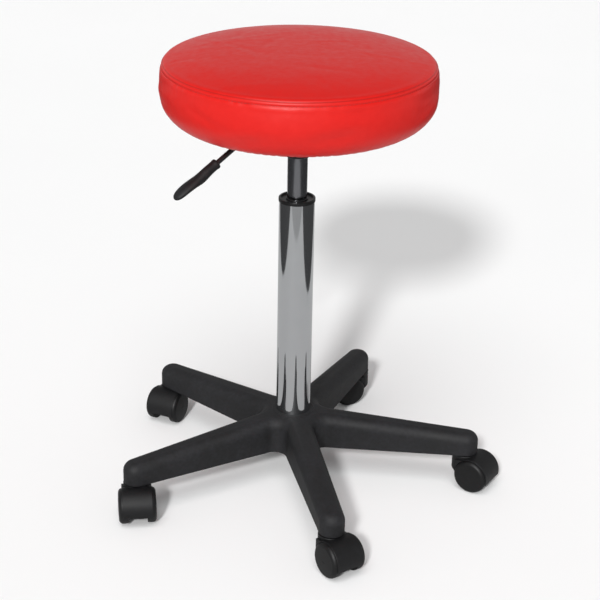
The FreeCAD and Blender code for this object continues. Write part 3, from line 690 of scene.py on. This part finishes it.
def tighten_cover(cushion, below):
    """Cloth simulation: held at the seam, the stitching and the underside, the foam presses it out."""
    steps, cap = 20, 4.0 * MM
    rest = np.array([v.co for v in cushion.data.vertices])
    random.seed(7)
    shaken = rest + np.array([[random.uniform(-1, 1) for _ in range(3)] for _ in rest]) * 0.15 * MM
    held_edge = lengths_of_hold()
    held = cushion.vertex_groups.new(name="held")
    for k, distance in enumerate(below):
        near_seam = -HELD_ABOVE < distance < HELD_BELOW
        weight = 1.0 if near_seam or distance > held_edge else 0.0
        if distance < -HELD_ABOVE:
            weight = 0.1
        held.add([k], weight, "REPLACE")
    side = (below > HELD_BELOW) & (below < held_edge)
    cushion.data.vertices.foreach_set("co", np.where(side[:, None], shaken, rest).astype(np.float32).ravel())
    # the side panel is cut a little deeper than the side it covers, so it lies in shallow folds
    cushion.shape_key_add(name="Basis")
    cut = cushion.shape_key_add(name="cut")
    slack = 1.05
    middle = (SEAM_Z + SEAT_LOW) / 2
    deeper = rest.copy()
    deeper[side, 2] = middle + (deeper[side, 2] - middle) * slack
    cut.data.foreach_set("co", deeper.astype(np.float32).ravel())
    cloth = cushion.modifiers.new("Cloth", "CLOTH")
    cloth.settings.quality = 6
    cloth.settings.mass = 0.3
    cloth.settings.tension_stiffness = 30
    cloth.settings.compression_stiffness = 30
    cloth.settings.shear_stiffness = 12
    cloth.settings.bending_stiffness = 0.8
    cloth.settings.use_pressure = True
    cloth.settings.uniform_pressure_force = 4
    cloth.settings.vertex_group_mass = "held"
    cloth.settings.rest_shape_key = cut
    cloth.settings.effector_weights.gravity = 0
    cloth.point_cache.frame_end = steps
    for step in range(1, steps + 1):
        bpy.context.scene.frame_set(step)
    graph = bpy.context.evaluated_depsgraph_get()
    pressed = np.array([v.co for v in cushion.evaluated_get(graph).data.vertices])
    bpy.context.scene.frame_set(1)
    cushion.modifiers.clear()
    cushion.shape_key_clear()
    cushion.vertex_groups.clear()
    move = pressed - rest
    size = np.linalg.norm(move, axis=1, keepdims=True)
    print("cloth moved", float(size.max()) / MM, "mm at most,", float(size.mean()) / MM, "mm on average")
    moved = rest + move * np.minimum(1.0, cap / np.maximum(size, 1e-9))
    cushion.data.vertices.foreach_set("co", moved.astype(np.float32).ravel())
    cushion.data.update()


def close_underside(mesh):
    """Inside the hem the cushion starts above its board."""
    board_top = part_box("seat_board")[1].z + 1 * MM
    cells = bmesh.new()
    cells.from_mesh(mesh)
    hem = [e for e in cells.edges if e.is_boundary]
    wall = bmesh.ops.extrude_edge_only(cells, edges=hem)["geom"]
    for corner in (piece for piece in wall if isinstance(piece, bmesh.types.BMVert)):
        corner.co.z = board_top
    bmesh.ops.edgeloop_fill(cells, edges=[e for e in cells.edges if e.is_boundary])
    bmesh.ops.recalc_face_normals(cells, faces=cells.faces)
    cells.to_mesh(mesh)
    cells.free()
    mesh.update()


def lengths_of_hold():
    """Distance from the seam where the underside's curve is well under way and the board holds it."""
    side = math.hypot(SEAM_Z - WIDEST_Z, SEAT_R - SEAM_R)
    return side + UNDER_CURVE_R * math.radians(62)


def sink(distance, place, width):
    """How deep a soft line has sunk at a distance from it, from 0 to 1."""
    return np.exp(-(((distance - place) / width) ** 2))


def sew_cover(cushion):
    """Sinks the seam's groove, the stitched band, the cover's dents and creases, and the pleats below."""
    mesh = cushion.data
    count = len(mesh.vertices)
    co = np.zeros(count * 3, np.float32)
    mesh.vertices.foreach_get("co", co)
    co = co.reshape(-1, 3)
    normals = np.array([v.normal for v in mesh.vertices])
    below = np.zeros(count, np.float32)
    mesh.attributes["below_seam"].data.foreach_get("value", below)
    angle = np.arctan2(co[:, 1], co[:, 0])
    stitches = round(2 * math.pi * SEAT_R / STITCH_PITCH)
    pull = 0.75 + 0.25 * np.cos(angle * stitches)
    depth = -1.1 * MM * sink(below, 0, 1.3 * MM)
    depth += 0.7 * MM * sink(below, -5 * MM, 3.5 * MM)
    depth += 0.35 * MM * sink(below, 3.4 * MM, 1.6 * MM)
    depth -= 0.75 * MM * sink(below, STITCH_DROP, 1.0 * MM) * pull
    depth += 0.5 * MM * sink(below, 10.5 * MM, 3.0 * MM)
    # short puckers run down from the stitching
    rng = np.random.default_rng(11)
    for _ in range(70):
        at, width, reach = rng.uniform(-math.pi, math.pi), rng.uniform(2.5, 6), rng.uniform(8, 22) * MM
        apart = (np.angle(np.exp(1j * (angle - at))) * SEAT_R) / (width * MM)
        fade = np.clip(1 - (below - STITCH_DROP) / reach, 0, 1) * (below > STITCH_DROP)
        depth -= rng.uniform(0.15, 0.5) * MM * np.exp(-(apart**2)) * fade
    # broad soft dents round the side panel
    for _ in range(22):
        at, low = rng.uniform(-math.pi, math.pi), rng.uniform(18, 62) * MM
        width, length = rng.uniform(6, 13) * MM, rng.uniform(20, 60) * MM
        apart = np.angle(np.exp(1j * (angle - at))) * SEAT_R
        across = below - low - apart * rng.uniform(-0.35, 0.35)
        on_side = below > STITCH_DROP + 2 * MM
        depth -= rng.uniform(0.8, 2.0) * MM * np.exp(-((across / width) ** 2) - (apart / length) ** 2) * on_side
    # long shallow creases where sitting has stretched the top panel
    for _ in range(26):
        middle = rng.uniform(-130, 130, 2) * MM
        run = rng.uniform(0, math.pi)
        width, length = rng.uniform(4, 9) * MM, rng.uniform(25, 70) * MM
        across = (co[:, 0] - middle[0]) * -math.sin(run) + (co[:, 1] - middle[1]) * math.cos(run)
        along = (co[:, 0] - middle[0]) * math.cos(run) + (co[:, 1] - middle[1]) * math.sin(run)
        bow = across - 0.004 / MM * along**2 * rng.uniform(-1, 1)
        on_top = below < -12 * MM
        depth += rng.uniform(-0.45, 0.45) * MM * np.exp(-((bow / width) ** 2) - (along / length) ** 2) * on_top
    # the gathered edge under the seat
    start = lengths_of_hold() - 8 * MM
    gather = np.clip((below - start) / (24 * MM), 0, 1)
    flat_radius = np.hypot(co[:, 0], co[:, 1])
    gather *= np.clip((flat_radius - 122 * MM) / (8 * MM), 0.15, 1)
    folds = np.zeros(count)
    for k in range(PLEATS):
        at = 2 * math.pi * (k + rng.uniform(-0.3, 0.3)) / PLEATS
        apart = np.abs(np.angle(np.exp(1j * (angle - at)))) * UNDER_FLAT_R
        folds += rng.uniform(0.5, 1.0) * np.exp(-apart / (1.6 * MM))
    depth -= 1.7 * MM * np.minimum(folds, 1) * gather
    co += normals * depth[:, None]
    mesh.vertices.foreach_set("co", co.astype(np.float32).ravel())
    mesh.update()


def make_cushion():
    mesh, below = cushion_mesh()
    cushion = new_object("seat_cushion", mesh)
    tighten_cover(cushion, below)
    smooth = cushion.modifiers.new("Smooth", "SUBSURF")
    smooth.levels = smooth.render_levels = 1
    baked(cushion)
    sew_cover(cushion)
    close_underside(cushion.data)
    paint(cushion, upholstery)
    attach(cushion, "seat")
    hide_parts("seat_cover", "seat_foam")
    return cushion


# ---- geometry nodes -----------------------------------------------------------------------------
def node_group(name, sizes):
    """A geometry tree with an input for the geometry, one for each named size and one for the material."""
    tree = bpy.data.node_groups.new(name, "GeometryNodeTree")
    tree.interface.new_socket("Geometry", in_out="INPUT", socket_type="NodeSocketGeometry")
    for size in sizes:
        tree.interface.new_socket(size, in_out="INPUT", socket_type="NodeSocketFloat")
    tree.interface.new_socket("Material", in_out="INPUT", socket_type="NodeSocketMaterial")
    tree.interface.new_socket("Geometry", in_out="OUTPUT", socket_type="NodeSocketGeometry")
    return tree


def grown(name, source, tree, values):
    """The mesh that a geometry tree grows from a source object, as a new piece."""
    modifier = source.modifiers.new("Grow", "NODES")
    modifier.node_group = tree
    for item in tree.interface.items_tree:
        if item.in_out == "INPUT" and item.name in values:
            modifier[item.identifier] = values[item.name]
    graph = bpy.context.evaluated_depsgraph_get()
    graph.update()
    mesh = bpy.data.meshes.new_from_object(source.evaluated_get(graph), depsgraph=graph)
    mesh.name = name
    bpy.data.objects.remove(source)
    return new_object(name, mesh)


def loop_curve(name, points):
    curve = bpy.data.curves.new(name, "CURVE")
    curve.dimensions = "3D"
    spline = curve.splines.new("POLY")
    spline.points.add(len(points) - 1)
    for place, point in zip(spline.points, points):
        place.co = (*point, 1)
    spline.use_cyclic_u = True
    return new_object(name, curve)


def stitch_tree():
    """Stitches along a closed curve round the Z axis: each lies along it and bows outwards."""
    tree = node_group("stitches", ("Pitch", "Length", "Thread radius"))
    given = add(tree, "NodeGroupInput")
    length = add(tree, "GeometryNodeCurveLength", {"Curve": given.outputs["Geometry"]})
    count = add(
        tree, "ShaderNodeMath", {0: length.outputs[0], 1: given.outputs["Pitch"]}, operation="DIVIDE"
    )
    spaced = add(
        tree,
        "GeometryNodeResampleCurve",
        {"Curve": given.outputs["Geometry"], "Count": count.outputs[0]},
        mode="COUNT",
    )
    bead = add(tree, "GeometryNodeMeshUVSphere", {"Segments": 10, "Rings": 7, "Radius": 1.0})
    half = add(tree, "ShaderNodeMath", {0: given.outputs["Length"], 1: 0.5}, operation="MULTIPLY")
    size = add(
        tree,
        "ShaderNodeCombineXYZ",
        {"X": half.outputs[0], "Y": given.outputs["Thread radius"], "Z": given.outputs["Thread radius"]},
    )
    tangent = add(tree, "GeometryNodeInputTangent")
    along = add(tree, "FunctionNodeAlignRotationToVector", {"Vector": tangent.outputs[0]}, axis="X")
    placed = add(
        tree,
        "GeometryNodeInstanceOnPoints",
        {
            "Points": spaced.outputs[0],
            "Instance": bead.outputs["Mesh"],
            "Rotation": along.outputs[0],
            "Scale": size.outputs[0],
        },
    )
    return end_tree(tree, given, placed.outputs[0])


def end_tree(tree, given, geometry):
    """Real mesh, smooth, in the given material."""
    real = add(tree, "GeometryNodeRealizeInstances", {"Geometry": geometry})
    smooth = add(tree, "GeometryNodeSetShadeSmooth", {"Geometry": real.outputs[0]})
    painted = add(
        tree,
        "GeometryNodeSetMaterial",
        {"Geometry": smooth.outputs[0], "Material": given.outputs["Material"]},
    )
    add(tree, "NodeGroupOutput", {"Geometry": painted.outputs[0]})
    return tree


def make_stitches(cushion):
    """The line of top stitching, laid in its groove on the finished cover."""
    surface = BVHTree.FromObject(cushion, bpy.context.evaluated_depsgraph_get())
    lengths, _, heights = side_outline()
    height = float(np.interp(STITCH_DROP, lengths, heights))
    points = []
    for k in range(ROUND * 2):
        angle = math.pi * k / ROUND
        out = Vector((math.cos(angle), math.sin(angle), 0))
        hit, normal, _, _ = surface.ray_cast(out * SEAT_R * 1.3 + UP * height, -out)
        points.append(hit + normal * THREAD_R * 0.4)
    path = loop_curve("stitch_path", points)
    values = {"Pitch": STITCH_PITCH, "Length": STITCH_LENGTH, "Thread radius": THREAD_R, "Material": thread}
    stitches = grown("top_stitching", path, stitch_tree(), values)
    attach(stitches, "seat")


# ---- underside ----------------------------------------------------------------------------------
DUST_R = 128 * MM
PAN_HALF = 46 * MM
STAPLES = 24


def make_dust_cover():
    """The black cloth under the seat: flat under the plate, puckered between its staples."""
    low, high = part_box("dust_cover")
    opening = PAN_HALF
    segments, rings = 192, 14
    points, faces = [], []
    rng = np.random.default_rng(5)
    waves = rng.uniform(0.5, 1.0, STAPLES)
    for ring in range(rings + 1):
        for k in range(segments):
            angle = 2 * math.pi * k / segments
            inner = opening / max(abs(math.cos(angle)), abs(math.sin(angle)))
            radius = inner + (DUST_R - inner) * ring / rings
            share = angle / (2 * math.pi) * STAPLES
            pucker = math.sin(math.pi * ((share + 0.5) % 1)) ** 2 * waves[int(share + 0.5) % STAPLES]
            free = max(0.0, (radius - 112 * MM) / (DUST_R - 112 * MM))
            sag = 0.9 * MM * pucker * free
            points.append((radius * math.cos(angle), radius * math.sin(angle), high.z - 0.05 * MM - sag))
    for ring in range(rings):
        for k in range(segments):
            after = (k + 1) % segments
            a, b = ring * segments, (ring + 1) * segments
            faces.append((a + k, a + after, b + after, b + k))
    cloth = new_object("dust_cloth", mesh_from("dust_cloth", points, faces))
    wall = cloth.modifiers.new("Thickness", "SOLIDIFY")
    wall.thickness = high.z - low.z - 0.1 * MM
    wall.offset = -1.0
    baked(cloth)
    paint(cloth, dust_cloth)
    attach(cloth, "seat")
    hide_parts("dust_cover")


def staple_tree():
    """Staple crowns on the points of a mesh, each across its radius."""
    tree = node_group("staples", ("Crown width", "Wire radius"))
    given = add(tree, "NodeGroupInput")
    half = add(tree, "ShaderNodeMath", {0: given.outputs["Crown width"], 1: 0.5}, operation="MULTIPLY")
    far = add(tree, "ShaderNodeMath", {0: half.outputs[0], 1: -1.0}, operation="MULTIPLY")
    start = add(tree, "ShaderNodeCombineXYZ", {"Y": far.outputs[0]})
    stop = add(tree, "ShaderNodeCombineXYZ", {"Y": half.outputs[0]})
    crown_line = add(
        tree, "GeometryNodeCurvePrimitiveLine", {"Start": start.outputs[0], "End": stop.outputs[0]}
    )
    section = add(
        tree,
        "GeometryNodeCurvePrimitiveCircle",
        {"Resolution": 8, "Radius": given.outputs["Wire radius"]},
        mode="RADIUS",
    )
    wire = add(
        tree,
        "GeometryNodeCurveToMesh",
        {"Curve": crown_line.outputs[0], "Profile Curve": section.outputs[0], "Fill Caps": True},
    )
    place = add(tree, "GeometryNodeInputPosition")
    outwards = add(
        tree, "ShaderNodeVectorMath", {0: place.outputs[0], 1: (1.0, 1.0, 0.0)}, operation="MULTIPLY"
    )
    facing = add(
        tree,
        "FunctionNodeAlignRotationToVector",
        {"Vector": outwards.outputs[0]},
        axis="X",
        pivot_axis="Z",
    )
    placed = add(
        tree,
        "GeometryNodeInstanceOnPoints",
        {
            "Points": given.outputs["Geometry"],
            "Instance": wire.outputs[0],
            "Rotation": facing.outputs[0],
        },
    )
    return end_tree(tree, given, placed.outputs[0])


def make_staples():
    low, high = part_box("seat_staples")
    radius = DUST_R - 4.05 * MM
    points = []
    for k in range(STAPLES):
        angle = 2 * math.pi * (k + 0.5) / STAPLES
        points.append((radius * math.cos(angle), radius * math.sin(angle), (low.z + high.z) / 2))
    ring = new_object("staple_ring", mesh_from("staple_ring", points, []))
    values = {"Crown width": 9 * MM, "Wire radius": (high.z - low.z) / 2, "Material": zinc_plate}
    staples = grown("cover_staples", ring, staple_tree(), values)
    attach(staples, "seat")
    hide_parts("seat_staples")


# ---- lever paddle -------------------------------------------------------------------------------
def make_paddle():
    """Moulded paddle: a sleeve with a rolled mouth, an S-bend, and a broad blade with a round tip."""
    joint = next(j for j in frame["joints"] if j["name"] == "height_lever")
    outward = UP.cross(Vector(joint["axis"])).normalized()
    drop = math.radians(30)
    along = outward * math.cos(drop) - UP * math.sin(drop)
    lift = outward * math.sin(drop) + UP * math.cos(drop)
    across = UP.cross(outward)
    shape = [v.co for v in frame["nodes"]["lever_paddle"].data.vertices]
    nearest = min(p.dot(along) for p in shape)
    length = max(p.dot(along) for p in shape) - nearest
    mouth = [p for p in shape if p.dot(along) < nearest + 0.1 * MM]
    middle = (max(p.dot(lift) for p in mouth) + min(p.dot(lift) for p in mouth)) / 2
    start = along * nearest + lift * middle
    # share of the length, lift off the sleeve's line, half width, half thickness; in millimetres
    stations = [
        (0.000, 0.0, 6.2, 5.6),
        (0.004, 0.0, 7.5, 6.9),
        (0.030, 0.0, 7.8, 7.2),
        (0.055, 0.0, 7.7, 7.1),
        (0.075, 0.0, 7.3, 6.7),
        (0.120, 0.0, 7.3, 6.7),
        (0.240, 0.0, 7.6, 7.0),
        (0.370, -1.2, 8.4, 7.4),
        (0.470, -0.8, 9.3, 6.7),
        (0.600, 1.0, 10.4, 5.6),
        (0.760, 1.8, 10.8, 5.3),
        (0.880, 1.4, 9.8, 4.9),
        (0.950, 1.0, 7.8, 4.1),
        (0.990, 0.7, 5.0, 2.8),
        (1.010, 0.6, 1.8, 1.1),
    ]
    sides = 24
    points, faces = [], []
    for share, rise, half_width, half_thick in stations:
        centre = start + along * share * length + lift * rise * MM
        for k in range(sides):
            angle = 2 * math.pi * k / sides
            points.append(
                centre + across * half_width * MM * math.cos(angle) + lift * half_thick * MM * math.sin(angle)
            )
    for ring in range(len(stations) - 1):
        for k in range(sides):
            after = (k + 1) % sides
            a, b = ring * sides, (ring + 1) * sides
            faces.append((a + k, b + k, b + after, a + after))
    faces.append(tuple(range(sides)))
    faces.append(tuple(reversed(range(len(points) - sides, len(points)))))
    paddle = new_object("height_paddle", mesh_from("height_paddle", points, faces))
    smooth = paddle.modifiers.new("Smooth", "SUBSURF")
    smooth.levels = smooth.render_levels = 2
    baked(paddle)
    face_outwards(paddle.data)
    paint(paddle, paddle_plastic)
    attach(paddle, "lever")
    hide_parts("lever_paddle")


def face_outwards(mesh):
    """Turns a closed mesh right side out if its faces point inwards."""
    volume = 0.0
    mesh.calc_loop_triangles()
    for triangle in mesh.loop_triangles:
        a, b, c = (mesh.vertices[i].co for i in triangle.vertices)
        volume += a.dot(b.cross(c))
    if volume < 0:
        mesh.flip_normals()


# ---- studio -------------------------------------------------------------------------------------
def softbox(name, direction, spread, power):
    """A far softbox: parallel light from a direction, as wide as the spread in degrees."""
    data = bpy.data.lights.new(name, "SUN")
    data.angle = math.radians(spread)
    data.energy = power
    light = bpy.data.objects.new(name, data)
    light.rotation_euler = direction.to_track_quat("Z", "Y").to_euler()
    bpy.context.scene.collection.objects.link(light)


def flat_panel(name, left, right, near, far, height, material):
    """A level sheet, laid out in the camera's heading: sideways and away from the camera."""
    turn = Matrix.Rotation(CAMERA_HEADING, 4, "Z")
    corners = [(left, near), (right, near), (right, far), (left, far)]
    points = [turn @ Vector((x, y, height)) for x, y in corners]
    panel = new_object(name, mesh_from(name, points, [(0, 1, 2, 3)], smooth=False))
    paint(panel, material)
    return panel


def make_studio():
    flat_panel("studio_floor", -40.0, 40.0, -40.0, 40.0, 0.0, studio_paper("paper_white", "#F4F4F4", "#F7F7F7"))
    # painted reflections, seen only by the gloss: the paper a little dimmer than the camera sees it, and dark and
    # grey sheets left, right and in front
    paper = studio_paper("paper_mirrored", "#C0C0C0", "#C6C6C6")
    dark_reflection_sheet = studio_paper("painted_dark_reflection", "#343435", "#3E3E3F")
    grey_reflection_sheet = studio_paper("painted_grey_reflection", "#9A9A9A", "#A4A4A4")
    beyond = [
        flat_panel("mirrored_paper", -6.0, 6.0, -6.0, 6.0, 0.0005, paper),
        flat_panel("dark_reflection_left", -6.0, -0.76, -6.0, 6.0, 0.001, dark_reflection_sheet),
        flat_panel("dark_reflection_right", 0.68, 6.0, -6.0, 6.0, 0.001, dark_reflection_sheet),
        flat_panel("grey_reflection_front", -0.76, 0.68, -6.0, -0.95, 0.001, grey_reflection_sheet),
    ]
    # the painted reflection sheets hide from the camera, from diffuse light and from shadows
    for panel in beyond:
        panel.visible_camera = False
        panel.visible_diffuse = False
        panel.visible_shadow = False
        panel.visible_transmission = False
    world = bpy.data.worlds.new("studio")
    world.use_nodes = True
    bpy.context.scene.world = world
    tree = world.node_tree
    tree.nodes.clear()
    way = add(tree, "ShaderNodeTexCoord").outputs["Generated"]
    up = add(tree, "ShaderNodeSeparateXYZ", {"Vector": way}).outputs["Z"]
    strength = add(
        tree,
        "ShaderNodeMapRange",
        {"Value": up, "From Min": 0.3, "From Max": 0.6, "To Min": 0.6, "To Max": 0.26},
    )
    sky = add(
        tree, "ShaderNodeBackground", {"Color": linear("#FFFFFF"), "Strength": strength.outputs[0]}
    )
    add(tree, "ShaderNodeOutputWorld", {"Surface": sky.outputs[0]})
    softbox("key_softbox", KEY_DIRECTION, KEY_SPREAD, KEY_POWER)
    softbox("high_softbox", HIGH_DIRECTION, HIGH_SPREAD, HIGH_POWER)
    bpy.context.scene.view_settings.view_transform = "Standard"


def make_camera():
    data = bpy.data.cameras.new("camera")
    data.lens = CAMERA_LENS
    data.shift_x = CAMERA_SHIFT
    camera = bpy.data.objects.new("camera", data)
    turn = Matrix.Rotation(CAMERA_HEADING, 4, "Z") @ Matrix.Rotation(CAMERA_TILT, 4, "X")
    camera.matrix_world = Matrix.Translation(CAMERA_PLACE) @ turn @ Matrix.Rotation(CAMERA_ROLL, 4, "Z")
    bpy.context.scene.collection.objects.link(camera)
    bpy.context.scene.camera = camera


dress_cad_nodes()
seat_cushion = make_cushion()
make_stitches(seat_cushion)
make_dust_cover()
make_staples()
make_paddle()
make_studio()
make_camera()
